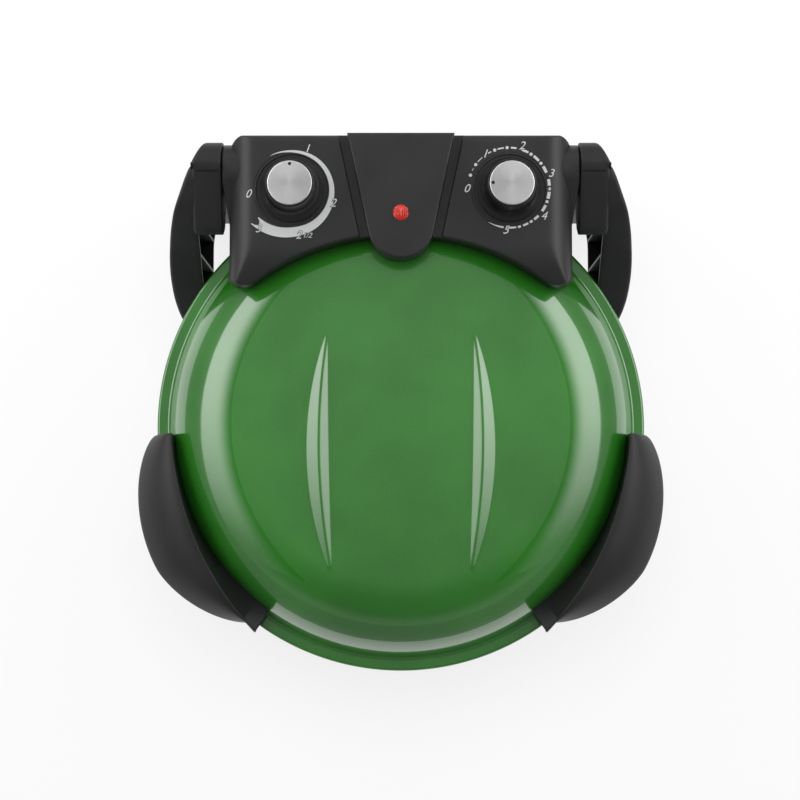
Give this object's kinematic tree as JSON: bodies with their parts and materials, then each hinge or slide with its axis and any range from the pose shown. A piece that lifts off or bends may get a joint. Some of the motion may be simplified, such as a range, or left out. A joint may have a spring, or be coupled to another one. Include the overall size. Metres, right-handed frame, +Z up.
{
  "type": "electric pizza maker",
  "caption": "Round countertop pizza oven: two enamelled dishes joined by a rear hinge, with a stone inside, side grips on the lid and a rear control panel with knobs and a lamp.",
  "frame": {"origin": "middle of the footprint at the height of the surface that the feet stand on", "axes": "+X to the right seen from the front, +Y to the rear where the hinge and the control panel are, +Z up"},
  "size_m": [0.3844, 0.383, 0.187],
  "materials": {
    "enamel_green": "glossy vitreous enamel on pressed steel",
    "aluminised_steel": "aluminised sheet",
    "mineral_wool": "loose mineral wool mat",
    "heater_sheath": "oxidised steel tube",
    "zinc_steel": "zinc plated",
    "cordierite": "fine grained fired stone",
    "white_ceramic": "unglazed steatite",
    "black_rubber": "matt moulded rubber",
    "black_nylon": "fine spark-textured glass-filled nylon",
    "bright_steel": "ground bright steel",
    "charcoal_abs": "satin moulded plastic",
    "bush_brass": "turned",
    "red_lens": "clear red moulded lens",
    "white_nylon": "moulded",
    "black_abs": "semi-gloss moulded plastic",
    "brushed_aluminium": "straight-brushed with a turned bevel"
  },
  "bodies": {
    "base": {"base_shell": "enamel_green", "base_liner": "aluminised_steel", "base_insulation": "mineral_wool", "lower_heater": "heater_sheath", "lower_heater_clips": "zinc_steel", "baking_stone": "cordierite", "stone_clips": "zinc_steel", "stone_clip_screws": "zinc_steel", "base_terminal_block": "white_ceramic", "cord_inlet": "black_rubber", "front_leg_left": "black_nylon", "front_leg_right": "black_nylon", "front_leg_screws": "zinc_steel", "hinge_arm_left": "black_nylon", "hinge_arm_right": "black_nylon", "arm_screws": "zinc_steel", "hinge_pins": "bright_steel", "feet": "black_rubber"},
    "lid": {"lid_shell": "enamel_green", "lid_liner": "aluminised_steel", "lid_insulation": "mineral_wool", "upper_heater": "heater_sheath", "upper_heater_clips": "zinc_steel", "lid_handle_left": "black_nylon", "lid_handle_right": "black_nylon", "lid_handle_screws": "zinc_steel", "control_panel": "charcoal_abs", "centre_console": "charcoal_abs", "panel_bottom": "charcoal_abs", "panel_screws": "zinc_steel", "hinge_bushes": "bush_brass", "lamp_lens": "red_lens", "lamp_holder": "white_nylon", "thermostat": "white_ceramic", "thermostat_nut": "zinc_steel", "timer": "white_nylon", "timer_nut": "zinc_steel", "timer_bell": "bright_steel", "panel_terminal_block": "white_nylon"},
    "temperature_dial": {"temperature_shaft": "bright_steel", "temperature_knob": "black_abs", "temperature_cap": "brushed_aluminium"},
    "timer_dial": {"timer_shaft": "bright_steel", "timer_knob": "black_abs", "timer_cap": "brushed_aluminium"}
  },
  "joints": [
    {"name": "lid_hinge", "type": "hinge", "parent": "base", "child": "lid", "pos_m": [0, 0.1685, 0.135], "axis": [-1, 0, 0], "range_deg": [0, 100]},
    {"name": "temperature_turn", "type": "hinge", "parent": "lid", "child": "temperature_dial", "pos_m": [-0.077, 0.1515, 0.17], "axis": [0, 0, -1], "range_deg": [-102, 219]},
    {"name": "timer_turn", "type": "hinge", "parent": "lid", "child": "timer_dial", "pos_m": [0.077, 0.1515, 0.17], "axis": [0, 0, -1], "range_deg": [0, 276]}
  ]
}
